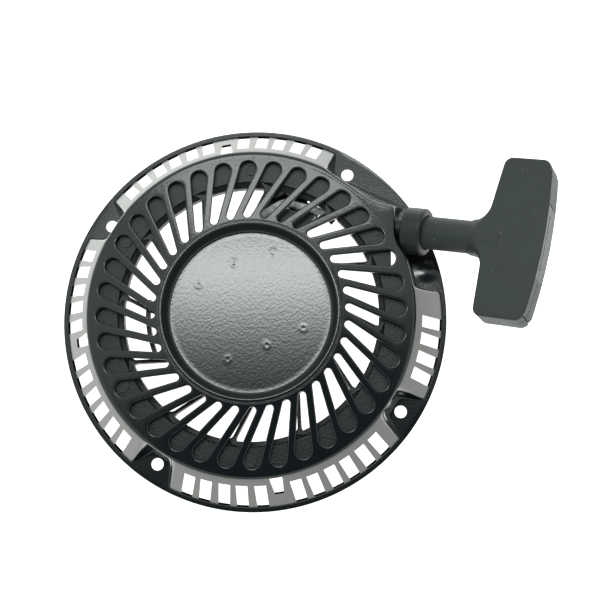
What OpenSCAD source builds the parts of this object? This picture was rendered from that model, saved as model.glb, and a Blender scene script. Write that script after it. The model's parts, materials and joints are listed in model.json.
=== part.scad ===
// Recoil starter for a small single cylinder engine.
// The flange lies on z = 0, the dome rises along +Z and the rope leaves towards +X.

/* [Housing] */
// Outer diameter of the flange
flange_d = 204; // [196:1:210]
// Thickness of the pressed steel sheet
sheet = 1.2; // [1:0.1:1.4]
// Height of the rolled rim round the dish
rim_z = 29.6; // [28.6:0.1:31]
// Height of the dome at the outer ends of the slots
dome_edge_z = 23.4; // [23:0.1:24.5]
// Height of the dish floor
dish_z = 23.2; // [23.2:0.1:23.6]
// Radius of the dish floor
dish_r = 41; // [38:0.5:41.5]

/* [Vents] */
// Number of slots in the dome
slot_count = 36; // [18:1:36]
// Width of a window in the sloping band
window_w = 6.05; // [4:0.05:6.4]

/* [Mounting] */
// Pitch circle diameter of the four bolt holes
bolt_pcd = 184; // [180:1:186]
// Diameter of a bolt hole
bolt_hole_d = 6.5; // [5.5:0.1:7]
// Direction of the first bolt hole
bolt_angle = 57; // [55:1:59]

/* [Rope and handle] */
// Diameter of the rope
rope_d = 4.2; // [3.5:0.1:4.3]
// Upward tilt of the handle and of the rope guide
pull_tilt = 21.4; // [19:0.1:22]
// Length of the grip across the pull
grip_l = 83.5; // [76:0.5:90]
// Diameter of the handle's stem
stem_d = 17; // [15:0.1:17.2]

/* [Reel] */
// Outer radius of the reel's flanges
reel_r = 45.5; // [44:0.5:46]
// Radius of the rope groove's floor
groove_r = 31.2; // [30.5:0.1:32]
// Radius of the journal on the reel post
journal_r = 6; // [5.5:0.1:6]

/* [Pawls] */
// Distance of a pawl's pivot from the reel's axis
pawl_pivot_r = 23.5; // [23:0.1:24]
// Angle that a pawl swings through
pawl_swing = 25; // [20:1:26]
// Angle that the guide plate turns on the reel
guide_turn = 30; // [28:1:32]

/* [Hidden] */
$fn = 96;
tiny = 0.01;

// Housing skin
flange_r = flange_d / 2;
band_foot_r = flange_r - 3.4;
band_top_r = 87;
band_top_z = 17;
pocket_r = 85.7;
pocket_half_angle = 5.6;
sector_offset = 45;
dome_edge_r = 81;
slot_outer_r = 4.4;
slot_inner_r = 2;
slot_outer_at = 75.4;
slot_inner_at = 50.7;
slot_sweep = 10.6;
slot_phase = 1.2;
rim_r = 46.4;

// Windows: pairs of narrow gaps along each sector of the band
window_pitch = 11.8;
window_pair_half = 2.84;
window_in_r = 88.2;
window_out_r = 99.4;
tab_in_r = 86.4;
tab_out_r = 93.3;

// Line of the pull: seat of the stem on the rope guide, and its direction
pull_yaw = -11.6;
seat = [91.3, 41.5, 18.5];
collar_r = 12.3;
collar_l = 11;
wall_x = 74.6;
rope_z = 14.3;
exit_y = 44.6;
exit_z = 12.3;
fairlead = [17.5, 53.5];
fairlead_r = 3;
pull_dir = [cos(pull_tilt) * cos(pull_yaw), cos(pull_tilt) * sin(pull_yaw), sin(pull_tilt)];

// Levels of the parts under the dish, from the post's plate down to the screw
post_plate_z = dish_z - sheet - 1.5;
reel_top = 19.9;
reel_bottom = 8.7;
reel_flange = 1.2;
cavity_floor = 11.9;
cavity_r = 25;
hub_bottom = 5.7;
hub_r = 10.5;
pawl_low = 5.7;
pawl_high = 8.4;
plate_low = 4.2;
plate_high = 5.4;
boss_low = 3.2;
washer_low = 2.2;
washer_high = 3;
screw_low = 0.4;
run_gap = 0.05;
rope_layer_r = [for (i = [0:2]) groove_r + 0.1 + (i + 0.5) * rope_d];
lead_r = rope_layer_r[2] + 0.1;
lead_z = rope_z + rope_d / 2;
lead_angle = 121.3;
knot_angle = 200;
knot_r = 28.4;
knot_z = 16.4;

// Handle, along the pull from the seat
grip_near = 33.3;
grip_far = 59.8;
grip_bow = 3.1;
grip_half_t = 8.65;
grip_roll = -3;
grip_skew = 0.75;
grip_flare = 1.5;
neck_fillet = 8.5;
pocket_from = 40;
cap_half = 19;
guard_top = 20.6;
guard_in_r = 66;
guard_out_r = 82;
spoke_count = 12;
spoke_phase = 22.2;
spoke_sweep = 8.5;
spoke_half = 0.95;
spoke_low = 15;
flare_r = 3.4;
lid_low = 17.1;
hub_ring_r = 46.6;
pocket_low = 8.2;

// Point of a circle
function polar(r, a) = [r * cos(a), r * sin(a)];
// Arc of n steps round a centre
function arc(c, r, a0, a1, n) = [for (i = [0:n]) c + polar(r, a0 + (a1 - a0) * i / n)];
function unit2(v) = v / norm(v);
function left_of(v) = [-v[1], v[0]];
// Polyline moved sideways by d, with mitred corners
function side_step(p, d) = [for (i = [0:len(p) - 1])
    let (a = unit2(p[min(i + 1, len(p) - 1)] - p[min(i, len(p) - 2)]),
         b = unit2(p[max(i, 1)] - p[max(i - 1, 0)]),
         m = (left_of(a) + left_of(b)) / (1 + a * b))
    p[i] + d * m];

// Outer line of the skin from the dish floor to the flange
skin_line = concat(
    [[0, dish_z], [dish_r - 1.5, dish_z]],
    [[dish_r + 0.3, dish_z + 0.7]],
    arc([rim_r - 0.6, rim_z - 1.8], 1.8, 150, 35, 5),
    [[48.4, rim_z - 2.6], [49.2, rim_z - 2.7]],
    [[dome_edge_r, dome_edge_z - 0.1]],
    [[83.2, dome_edge_z - 0.9], [84.9, dome_edge_z - 2.8], [85.9, dome_edge_z - 4.8]],
    [[band_top_r, band_top_z], [band_foot_r, sheet]]);
skin_inside = side_step(skin_line, -sheet);

module revolve_line(line, foot) {
    last = line[len(line) - 1];
    rotate_extrude()
        polygon(concat([[0, foot]], line, [[last[0] + (last[1] - foot) * 0.734, foot]]));
}

// Wedge of the plane between two directions
module wedge(a0, a1, r) {
    steps = ceil((a1 - a0) / 30);
    polygon(concat([[0, 0]], [for (i = [0:steps]) polar(r, a0 + (a1 - a0) * i / steps)]));
}

// Footprint of the low bolt pads, grown by g
module pad_shape(g) {
    grow = g / 92 * 57.3;
    difference() {
        union() {
            for (k = [1:3])
                rotate(bolt_angle + 90 * k) wedge(-pocket_half_angle - grow, pocket_half_angle + grow, 130);
            wedge(10.5 - grow, bolt_angle + pocket_half_angle + grow, 130);
        }
        circle(r = pocket_r - g);
    }
    translate([wall_x - g, 27 - g]) square([60, 60]);
}

// Cover of the rope exit at its top and at its foot, shrunk by g
module exit_top(g) {
    polygon([[40, 50], [52 - g, 63.2 - g], [wall_x - g, 54.2 - g * 1.3], [wall_x - g, 28], [60, 20]]);
}
module exit_foot(g) {
    polygon([[40, 50], [53 - g, 71 - g], [wall_x - g, 62 - g * 1.3], [wall_x - g, 28], [60, 20]]);
}
module exit_cover(g, foot, top) {
    hull() {
        translate([0, 0, foot]) linear_extrude(tiny) exit_foot(g);
        translate([0, 0, top - tiny]) linear_extrude(tiny) exit_top(g);
    }
}

module skin_solid(line, g, foot, cover_top) {
    difference() {
        revolve_line(line, foot);
        translate([0, 0, foot - 1]) linear_extrude(60) pad_shape(g);
    }
    exit_cover(g, foot, cover_top);
}

// Slot with round ends, wider outwards and swept back from the radius
module slot_shape() {
    a = polar(slot_outer_at, 0);
    b = polar(slot_inner_at, slot_sweep);
    dir = atan2(b[1] - a[1], b[0] - a[0]);
    lean = asin((slot_outer_r - slot_inner_r) / norm(b - a));
    translate(a) circle(r = slot_outer_r);
    translate(b) circle(r = slot_inner_r);
    polygon([a + polar(slot_outer_r, dir + 90 - lean), b + polar(slot_inner_r, dir + 90 - lean),
             b + polar(slot_inner_r, dir - 90 + lean), a + polar(slot_outer_r, dir - 90 + lean)]);
}

// Directions of the windows in one sector
window_steps = [for (k = [-2.5:1:2.5], s = [-1, 1]) k * window_pitch + s * window_pair_half];

module window_cut(r0, r1, w0, w1) {
    translate([0, 0, -1])
        linear_extrude(26)
            polygon([[r0, -w0 / 2], [r1, -w1 / 2], [r1, w1 / 2], [r0, w0 / 2]]);
}

module sector_windows(middle, first, last, with_tab) {
    for (i = [first:last])
        rotate(middle + window_steps[i])
            if (with_tab && i == 5)
                window_cut(tab_in_r, tab_out_r, 6.4, 4.6);
            else
                window_cut(window_in_r, window_out_r, window_w, window_w);
}

module housing() {
    color([0.12, 0.14, 0.14])
    difference() {
        union() {
            skin_solid(skin_line, 0, 0, dome_edge_z - 1.2);
            linear_extrude(sheet) circle(r = flange_r, $fn = 180);
        }
        skin_solid(skin_inside, sheet, -1, dome_edge_z - 1.2 - sheet);
        for (i = [0:slot_count - 1])
            rotate(slot_phase + i * 360 / slot_count)
                translate([0, 0, 19]) linear_extrude(12) slot_shape();
        for (k = [1:3])
            sector_windows(bolt_angle + sector_offset + 90 * (k - 1), 0, 11, true);
        sector_windows(bolt_angle - sector_offset, 0, 3, false);
        for (k = [0:3])
            rotate(bolt_angle + 90 * k)
                translate([bolt_pcd / 2, 0, -1]) cylinder(d = bolt_hole_d, h = 4);
        translate([wall_x - 4, exit_y, exit_z]) rotate([0, 90, 0]) cylinder(r = 6.2, h = 10);
    }
}

// Plastic ring under the slots, with spokes to a hub ring and a pocket for the rope
module inner_guard() {
    color([0.2, 0.21, 0.21])
    difference() {
        union() {
            rotate_extrude()
                polygon([[guard_in_r, guard_top - 6.5], [guard_in_r + 1.6, guard_top - 6.5],
                         [guard_in_r + 1.6, guard_top - 2.4], [guard_in_r + 4, guard_top - 1.8],
                         [guard_out_r, guard_top - 1.8], [guard_out_r, guard_top - 0.6],
                         [guard_in_r + 3.2, guard_top], [guard_in_r + 2.4, guard_top - 1],
                         [guard_in_r, guard_top - 2]]);
            for (i = [0:spoke_count - 1])
                rotate(spoke_phase + i * 360 / spoke_count) spoke();
            rotate_extrude() translate([hub_ring_r, 15]) square([1.8, 3]);
            for (i = [0:5])
                rotate(30 + 60 * i) translate([75.7, 0, guard_top - 1.2]) boss();
            rotate_extrude(angle = 30, start = 172) translate([52.6, 14]) square([2.2, 4]);
            rope_pocket();
        }
        translate([wall_x - 4, exit_y, exit_z]) rotate([0, 90, 0]) cylinder(r = 8.4, h = 10);
        translate([wall_x - sheet - 1, 22, 8]) cube([40, 50, 20]);
        translate([0, 0, pocket_low + 1.7])
            linear_extrude(8.6) channel(lead_start, lead_corner + [2.4, 1.4], 7.4);
        translate([0, 0, pocket_low + 1.7])
            linear_extrude(8.6) channel(lead_corner, [wall_x + 2, exit_y], 7.4);
    }
}

// Low round boss with a sunk middle
module boss() {
    difference() {
        cylinder(r = 3.2, h = 1.6);
        translate([0, 0, 1.1]) cylinder(r = 2.3, h = 1);
    }
}

// Thin spoke, swept back from the radius, with a flared root and a groove along its top
module spoke() {
    root = polar(guard_in_r + 1, 0);
    tip = polar(hub_ring_r + 1, spoke_sweep);
    run = norm(tip - root);
    translate([root[0], root[1], spoke_low]) rotate(atan2(tip[1] - root[1], tip[0] - root[0]))
        difference() {
            linear_extrude(guard_top - 0.2 - spoke_low)
                polygon(concat([[-0.4, spoke_half + flare_r]],
                               arc([flare_r + 0.3, spoke_half + flare_r], flare_r, 180, 270, 6),
                               [[run, spoke_half], [run, -spoke_half]],
                               arc([flare_r + 0.3, -spoke_half - flare_r], flare_r, 90, 180, 6),
                               [[-0.4, -spoke_half - flare_r]]));
            translate([flare_r - 0.6, -0.35, guard_top - 1.3 - spoke_low]) cube([run - flare_r, 0.7, 2]);
        }
}

module ring_sector(r0, r1, a0, a1) {
    difference() {
        intersection() {
            circle(r = r1);
            wedge(a0, a1, 130);
        }
        circle(r = r0);
    }
}

// Pocket that the rope crosses: a floor, a lid over its outer end, and walls
module rope_pocket() {
    low = hub_ring_r + 0.5;
    high = guard_in_r + 0.7;
    translate([0, 0, pocket_low]) linear_extrude(1.4) ring_sector(low, high, 57, 84.5);
    translate([0, 0, lid_low]) linear_extrude(1.2) ring_sector(low, high, 57, 74.5);
    translate([0, 0, lid_low]) linear_extrude(1.2) ring_sector(62.4, high, 48, 84.5);
    translate([0, 0, lid_low + 1]) linear_extrude(1.4) channel(polar(53.4, 68.4), polar(62.8, 62.1), 0.9);
    translate([polar(51.7, 70.4)[0], polar(51.7, 70.4)[1], lid_low + 1]) cylinder(r = 2, h = 1.6);
    translate([0, 0, pocket_low]) linear_extrude(9.6) ring_sector(low, high, 57, 58.6);
    translate([0, 0, pocket_low]) linear_extrude(9.3) ring_sector(guard_in_r - 0.9, high, 57, 84.5);
}

// Straight channel from one point to another, w wide
module channel(from, to, w) {
    translate(from) rotate(atan2(to[1] - from[1], to[0] - from[0]))
        translate([0, -w / 2]) square([norm(to - from), w]);
}

module rope_guide() {
    color([0.16, 0.17, 0.17])
    difference() {
        union() {
            intersection() {
                translate(seat) aim_pull() collar_body();
                translate([wall_x + 0.6, -50, 1.6]) cube([60, 140, 60]);
            }
            translate([wall_x - 3.4, exit_y, exit_z]) rotate([0, 90, 0]) cylinder(r = 6.1, h = 13);
            translate([wall_x - 3.4, exit_y, exit_z]) rotate([0, 90, 0]) cylinder(r = 7.4, h = 1.8);
        }
        translate([wall_x - 6, exit_y, exit_z]) rotate([0, 90, 0]) cylinder(r = 3.6, h = 13);
        translate(seat) aim_pull() translate([0, 0, -14]) cylinder(r = 3.6, h = 25);
        translate(seat) aim_pull() translate([0, 0, -2.6]) cylinder(r = stem_d / 2 + 0.35, h = 6);
    }
}

// Turns the +Z axis into the direction of the pull
module aim_pull() {
    rotate([0, 0, pull_yaw]) rotate([0, 90 - pull_tilt, 0]) children();
}

module collar_body() {
    rotate_extrude()
        polygon(concat([[0, -collar_l], [collar_r - 1, -collar_l], [collar_r, 1 - collar_l]],
                       arc([collar_r - 2, -2], 2, 0, 90, 4), [[0, 0]]));
}

module fairlead_pin() {
    color([0.35, 0.37, 0.37]) translate([fairlead[0], fairlead[1], 9.6]) {
        cylinder(r = fairlead_r, h = 7.3);
    }
}

module reel_post() {
    color([0.6, 0.6, 0.62])
    difference() {
        union() {
            translate([0, 0, post_plate_z]) cylinder(r = 34, h = 1.5);
            translate([0, 0, cavity_floor + 0.4])
                cylinder(r = 9, h = post_plate_z - cavity_floor - 0.4 + tiny);
            translate([0, 0, washer_high]) cylinder(r = journal_r, h = 10);
        }
        translate([0, 0, washer_high - 1]) cylinder(r = 2.1, h = 13);
        translate([8, -0.6, cavity_floor + 0.3]) cube([2, 1.2, 6.5]);
    }
}

module reel() {
    color([0.15, 0.15, 0.15])
    difference() {
        union() {
            translate([0, 0, reel_bottom]) cylinder(r = groove_r, h = reel_top - reel_bottom);
            translate([0, 0, reel_bottom]) cylinder(r = reel_r, h = reel_flange);
            translate([0, 0, reel_top - reel_flange]) cylinder(r = reel_r, h = reel_flange);
            translate([0, 0, hub_bottom]) cylinder(r = hub_r, h = 4);
        }
        translate([0, 0, cavity_floor]) cylinder(r = cavity_r, h = 20);
        translate([0, 0, hub_bottom - 1]) cylinder(r = journal_r + run_gap, h = 12);
        for (s = [0, 180])
            rotate(s) {
                translate([pawl_pivot_r, 0, reel_bottom - 1]) cylinder(r = 2, h = 3);
                pawl_spring_seat();
            }
        rotate(knot_angle) translate([knot_r, 0, knot_z]) rotate([0, 90, 0]) cylinder(r = 2.2, h = 6);
        rotate(knot_angle) translate([knot_r, 0, knot_z - 2.6]) cylinder(r = 2.6, h = 8);
    }
}

module spring_cover() {
    color([0.65, 0.66, 0.68])
    translate([0, 0, reel_top - 0.9])
        difference() {
            cylinder(r = cavity_r, h = 0.8);
            translate([0, 0, -1]) cylinder(r = 9.6, h = 3);
        }
}

// Spiral strip from the post to the wall of the spring cavity
spring_turns = 7;
spring_in_r = 9.3;
spring_out_r = 23.6;
spring_strip = 0.7;
function spiral(d) = [for (i = [0:spring_turns * 20])
    polar(spring_in_r + d + (spring_out_r - spring_in_r) * i / (spring_turns * 20), i * 18)];
function backwards(p) = [for (i = [len(p) - 1:-1:0]) p[i]];

module power_spring() {
    color([0.45, 0.47, 0.5])
    translate([0, 0, cavity_floor + 0.4])
        linear_extrude(6.2) polygon(concat(spiral(0), backwards(spiral(spring_strip))));
}

module rope_wound() {
    color([0.75, 0.76, 0.72])
    rotate_extrude()
        translate([0, rope_z - rope_d])
            intersection() {
                union() {
                    for (i = [0, 1], j = [0.5, 1.5])
                        translate([rope_layer_r[i], j * rope_d]) circle(r = rope_d / 2, $fn = 32);
                    translate([rope_layer_r[2], rope_d / 2]) circle(r = rope_d / 2, $fn = 32);
                    translate([groove_r, rope_d * 0.3]) square([rope_d * 1.8, rope_d * 1.4]);
                    translate([groove_r, rope_d * 0.3]) square([rope_d * 2.5, rope_d * 0.4]);
                }
                translate([groove_r + 0.1, 0]) square([20, 20]);
            }
}

module reel_knot() {
    color([0.78, 0.79, 0.75])
    rotate(knot_angle) translate([knot_r, 0, knot_z]) sphere(r = 2.5, $fn = 32);
}

// Rope in plan: off the wound turns, round the fairlead and out through the guide
lead_start = polar(lead_r, lead_angle);
lead_route = [[lead_start[0], lead_start[1], lead_z], [-13.2, 40.9, lead_z], [-4, 46.5, lead_z - 0.4],
              [5, 52, lead_z - 0.9], [11.5, 56.1, lead_z - 1.2], [15, 58.1, lead_z - 1.4],
              [18.8, 58.9, lead_z - 1.6], [24, 57.4, lead_z - 1.8], [36, 54.2, lead_z - 2.3],
              [50, 50.6, lead_z - 2.9], [63, 47.3, lead_z - 3.5], [70, 45.6, 12.6], [75.6, 44.7, 12.5],
              seat - 9.5 * pull_dir, seat + 2 * pull_dir, seat + 20 * pull_dir, seat + 41 * pull_dir];
lead_corner = [17, 59.2];

function unit3(v) = v / norm(v);
function route_dir(p, i) = unit3(p[min(i + 1, len(p) - 1)] - p[max(i - 1, 0)]);
// Points of a tube swept along the route
function tube_points(p, r, n) = [for (i = [0:len(p) - 1])
    let (t = route_dir(p, i), u = unit3(cross([0, 0, 1], t)), w = cross(t, u))
    for (k = [0:n - 1]) p[i] + r * (cos(360 * k / n) * u + sin(360 * k / n) * w)];
function tube_faces(m, n) = concat(
    [[for (k = [0:n - 1]) k]],
    [for (i = [0:m - 2], k = [0:n - 1])
        [(i + 1) * n + k, (i + 1) * n + (k + 1) % n, i * n + (k + 1) % n, i * n + k]],
    [[for (k = [n - 1:-1:0]) (m - 1) * n + k]]);

module rope_lead() {
    color([0.78, 0.79, 0.75])
        polyhedron(tube_points(lead_route, rope_d / 2 - 0.05, 10), tube_faces(len(lead_route), 10));
}

// Outline of the grip and its neck, seen square to its flat faces
corner_r = 4.5;
module grip_outline() {
    half = grip_l / 2;
    near = grip_near + grip_flare + corner_r;
    polygon(concat(
        arc([near + grip_skew, half - corner_r], corner_r, 172, 90, 4),
        arc([grip_far - corner_r, half - corner_r], corner_r, 90, 8, 4),
        [for (i = [1:7]) let (y = half * 0.86 * (1 - i / 4))
            [grip_far + grip_bow * (1 - pow(y / half, 2)), y]],
        arc([grip_far - corner_r, corner_r - half], corner_r, -8, -90, 4),
        arc([near - grip_skew, corner_r - half], corner_r, 270, 188, 4),
        arc([grip_near - neck_fillet, -stem_d / 2 - neck_fillet], neck_fillet, 0, 90, 5),
        arc([grip_near - neck_fillet, stem_d / 2 + neck_fillet], neck_fillet, 270, 360, 5)));
}

module in_handle() {
    translate(seat) rotate([0, 0, pull_yaw]) rotate([0, -pull_tilt, 0]) rotate([grip_roll, 0, 0]) children();
}

module handle_grip() {
    color([0.17, 0.19, 0.19]) in_handle()
    difference() {
        union() {
            translate([0, 0, -grip_half_t]) linear_extrude(2 * grip_half_t) grip_outline();
            translate([-2.2, 0, 0]) rotate([0, 90, 0]) cylinder(d = stem_d, h = 40);
        }
        translate([-4, 0, 0]) rotate([0, 90, 0]) cylinder(r = 2.9, h = 60);
        translate([pocket_from, -cap_half, -5.5]) cube([40, 2 * cap_half, 11]);
    }
}

module handle_cap() {
    color([0.22, 0.24, 0.23]) in_handle()
    intersection() {
        translate([grip_far - 2, -cap_half + 0.15, -5.35]) cube([10, 2 * cap_half - 0.3, 10.7]);
        translate([0, 0, -6]) linear_extrude(12) grip_outline();
    }
}

module knot_washer() {
    color([0.7, 0.7, 0.72]) in_handle()
    difference() {
        translate([pocket_from, 0, 0]) rotate([0, 90, 0]) cylinder(r = 5.2, h = 1.2);
        translate([pocket_from - 1, 0, 0]) rotate([0, 90, 0]) cylinder(r = 2.6, h = 4);
    }
}

module handle_knot() {
    color([0.78, 0.79, 0.75]) in_handle()
    translate([pocket_from + 1.2 + 5, 0, 0]) intersection() {
        sphere(r = 5.3, $fn = 48);
        translate([-5, -6, -5.2]) cube([11, 12, 10.4]);
    }
}

// One pawl about its own pivot at the origin, with its pin for the cam slot
pawl_arm = 15;
pin_back = 8;
module pawl_body() {
    translate([0, 0, pawl_low]) linear_extrude(pawl_high - pawl_low) difference() {
        union() {
            circle(r = 4);
            polygon([[-3.6, 1.6], [-4.5, -pawl_arm + 2], [-1.5, -pawl_arm - 1],
                     [3.8, -pawl_arm + 3], [4, 0]]);
        }
        circle(r = 2 + run_gap);
    }
    translate([0, -pin_back, plate_low]) cylinder(r = 1.2, h = pawl_low - plate_low + tiny);
}

module pawl_1() {
    color([0.6, 0.6, 0.6]) translate([pawl_pivot_r, 0, 0]) pawl_body();
}

module pawl_2() {
    color([0.6, 0.6, 0.6]) rotate(180) translate([pawl_pivot_r, 0, 0]) pawl_body();
}

module pawl_pins() {
    color([0.7, 0.7, 0.72])
    for (s = [0, 180])
        rotate(s) translate([pawl_pivot_r, 0, 0]) {
            translate([0, 0, plate_high + 0.2]) cylinder(r = 2, h = reel_bottom - plate_high + 1.8);
        }
}

// Torsion spring of a pawl: two coils round the pivot's boss and a straight leg
module pawl_spring() {
    translate([pawl_pivot_r, 0, reel_bottom + 0.6]) {
        for (h = [0, 0.75])
            translate([0, 0, h]) rotate_extrude() translate([3.4, 0]) circle(r = 0.4, $fn = 24);
        translate([3.4, 0, 0]) rotate([90, 0, 0]) cylinder(r = 0.4, h = 7);
    }
}

// Recess in the reel for a pawl spring
module pawl_spring_seat() {
    translate([pawl_pivot_r, 0, reel_bottom - 1]) difference() {
        union() {
            cylinder(r = 4.4, h = 3);
            translate([2.6, -8, 0]) cube([1.6, 8, 3]);
        }
        cylinder(r = 2.6, h = 4);
    }
}

module pawl_spring_1() {
    color([0.5, 0.52, 0.55]) pawl_spring();
}

module pawl_spring_2() {
    color([0.5, 0.52, 0.55]) rotate(180) pawl_spring();
}

// Path of the pawl's pin as the guide plate sees it while both turn
function rot2(p, a) = [p[0] * cos(a) - p[1] * sin(a), p[0] * sin(a) + p[1] * cos(a)];
function pin_seen(t) = rot2([pawl_pivot_r, 0] + rot2([0, -pin_back], pawl_swing * t), -guide_turn * t);
cam_steps = 6;
cam_line = [for (i = [0:cam_steps]) pin_seen(i / cam_steps)];

module cam_slot(r) {
    polygon(concat(side_step(cam_line, r), backwards(side_step(cam_line, -r))));
    translate(cam_line[0]) circle(r = r);
    translate(cam_line[cam_steps]) circle(r = r);
}

module guide_plate() {
    color([0.68, 0.69, 0.7])
    difference() {
        union() {
            translate([0, 0, plate_low]) cylinder(r = 29, h = plate_high - plate_low);
            translate([0, 0, boss_low]) cylinder(r = 8.6, h = 2);
        }
        translate([0, 0, 0]) cylinder(r = journal_r + run_gap, h = 9);
        for (s = [0, 180])
            rotate(s) translate([0, 0, plate_low - 1]) linear_extrude(5) cam_slot(1.75);
    }
}

// Open wire ring that brakes the guide plate's boss
module friction_spring() {
    color([0.5, 0.52, 0.55])
        translate([0, 0, washer_high + 0.5]) rotate(60)
            rotate_extrude(angle = 300) translate([9.25, 0]) circle(r = 0.5, $fn = 24);
}

module retaining_washer() {
    color([0.7, 0.7, 0.72])
    translate([0, 0, washer_low]) difference() {
        cylinder(r = 9.5, h = washer_high - washer_low);
        translate([0, 0, -1]) cylinder(r = 2.7, h = 4);
    }
}

module centre_screw() {
    color([0.75, 0.76, 0.78])
    difference() {
        union() {
            translate([0, 0, screw_low]) cylinder(r = 5, h = washer_low - screw_low);
            translate([0, 0, washer_low - tiny]) cylinder(r = 2.1, h = 12);
        }
        translate([0, 0, screw_low - 1]) cylinder(r = 2.2, h = 2.2, $fn = 6);
    }
}

housing();
inner_guard();
rope_guide();
fairlead_pin();
reel_post();
reel();
spring_cover();
power_spring();
rope_wound();
reel_knot();
rope_lead();
handle_grip();
handle_cap();
handle_knot();
knot_washer();
pawl_pins();
pawl_1();
pawl_2();
pawl_spring_1();
pawl_spring_2();
guide_plate();
friction_spring();
retaining_washer();
centre_screw();
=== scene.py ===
"""The looks of a recoil starter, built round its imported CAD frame.

Lengths are worked out in millimetres and turned into metres where a mesh is made.
The frame's origin is the centre of the flange's underside, +Z is the shaft and +X is the rope's side.
"""
import json
import math

import bmesh
import bpy
import numpy as np
from mathutils import Matrix, Vector


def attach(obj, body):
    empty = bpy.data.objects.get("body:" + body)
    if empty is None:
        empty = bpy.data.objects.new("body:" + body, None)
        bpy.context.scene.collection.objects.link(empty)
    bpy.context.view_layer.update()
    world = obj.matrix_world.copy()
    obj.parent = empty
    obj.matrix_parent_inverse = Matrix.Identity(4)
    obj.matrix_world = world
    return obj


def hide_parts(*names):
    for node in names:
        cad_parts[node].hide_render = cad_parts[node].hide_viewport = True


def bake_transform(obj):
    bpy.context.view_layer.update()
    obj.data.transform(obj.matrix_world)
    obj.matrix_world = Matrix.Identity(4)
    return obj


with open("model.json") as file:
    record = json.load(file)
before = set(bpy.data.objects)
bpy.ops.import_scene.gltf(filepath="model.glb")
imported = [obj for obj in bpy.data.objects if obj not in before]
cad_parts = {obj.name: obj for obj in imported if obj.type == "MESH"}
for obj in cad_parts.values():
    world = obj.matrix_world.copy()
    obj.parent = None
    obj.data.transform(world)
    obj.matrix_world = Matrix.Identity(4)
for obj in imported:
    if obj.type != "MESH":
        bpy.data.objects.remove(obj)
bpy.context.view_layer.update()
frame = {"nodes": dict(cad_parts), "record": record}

NODES = frame["nodes"]
MM = 0.001


# ---------------------------------------------------------------- camera, light and floor

def aim(thing, place, target, up=(0, 1, 0)):
    """Puts a camera or light at place, looking at target."""
    back = (Vector(place) - Vector(target)).normalized()
    side = Vector(up).cross(back).normalized()
    turn = Matrix((side, back.cross(side), back)).transposed()
    thing.matrix_world = Matrix.Translation(Vector(place)) @ turn.to_4x4()


def make_camera():
    """The photo's camera, 0.6 m above the part and almost straight over it."""
    data = bpy.data.cameras.new("camera")
    data.lens = 68.63
    data.sensor_width = 36
    data.clip_start = 0.01
    data.clip_end = 20
    camera = bpy.data.objects.new("camera", data)
    bpy.context.scene.collection.objects.link(camera)
    aim(camera, (0.05121, -0.08104, 0.60198), (0.02450, 0.00944, 0))
    bpy.context.scene.camera = camera


def make_light(name, place, target, size, power):
    """Rectangular lamp with a faintly green white."""
    data = bpy.data.lights.new(name, "AREA")
    data.shape = "RECTANGLE"
    data.size, data.size_y = size
    data.energy = power
    data.color = (0.94, 1.0, 0.98)
    light = bpy.data.objects.new(name, data)
    bpy.context.scene.collection.objects.link(light)
    aim(light, place, target, (0, 1, 0.01))


# The white tent is dim round this direction: fully inside the inner angle, not at all past the outer
DIM_WAY = (0.06, -0.34, 0.93)
DIM_INNER, DIM_OUTER = 21, 35
DIM_COLOUR, TENT_COLOUR = (0.05, 0.08, 0.10), (0.72, 0.80, 0.78)


def make_world():
    """Soft white tent, with a dim patch overhead where the photographer stands."""
    world = bpy.data.worlds.new("studio")
    bpy.context.scene.world = world
    world.use_nodes = True
    tree = world.node_tree
    back = tree.nodes["Background"]
    place = tree.nodes.new("ShaderNodeTexCoord")
    near = tree.nodes.new("ShaderNodeVectorMath")
    near.operation = "DOT_PRODUCT"
    near.inputs[1].default_value = Vector(DIM_WAY).normalized()
    tree.links.new(place.outputs["Generated"], near.inputs[0])
    patch = tree.nodes.new("ShaderNodeMapRange")
    patch.interpolation_type = "SMOOTHSTEP"
    patch.inputs["From Min"].default_value = math.cos(math.radians(DIM_OUTER))
    patch.inputs["From Max"].default_value = math.cos(math.radians(DIM_INNER))
    patch.inputs["To Min"].default_value = 1.0
    patch.inputs["To Max"].default_value = 0.03
    tree.links.new(near.outputs["Value"], patch.inputs["Value"])
    tint = tree.nodes.new("ShaderNodeMix")
    tint.data_type = "RGBA"
    tint.inputs[6].default_value = (*DIM_COLOUR, 1)
    tint.inputs[7].default_value = (*TENT_COLOUR, 1)
    tree.links.new(patch.outputs["Result"], tint.inputs["Factor"])
    tree.links.new(tint.outputs[2], back.inputs["Color"])
    back.inputs["Strength"].default_value = 1.0


# The softbox fades to one side: strips of it from its dim edge on, with their power
SOFTBOX_LOW, SOFTBOX_STEP = 0.05, 0.03
SOFTBOX_POWERS = (0.003, 0.014, 0.06, 0.18, 0.35, 0.45, 0.34, 0.16)


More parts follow.
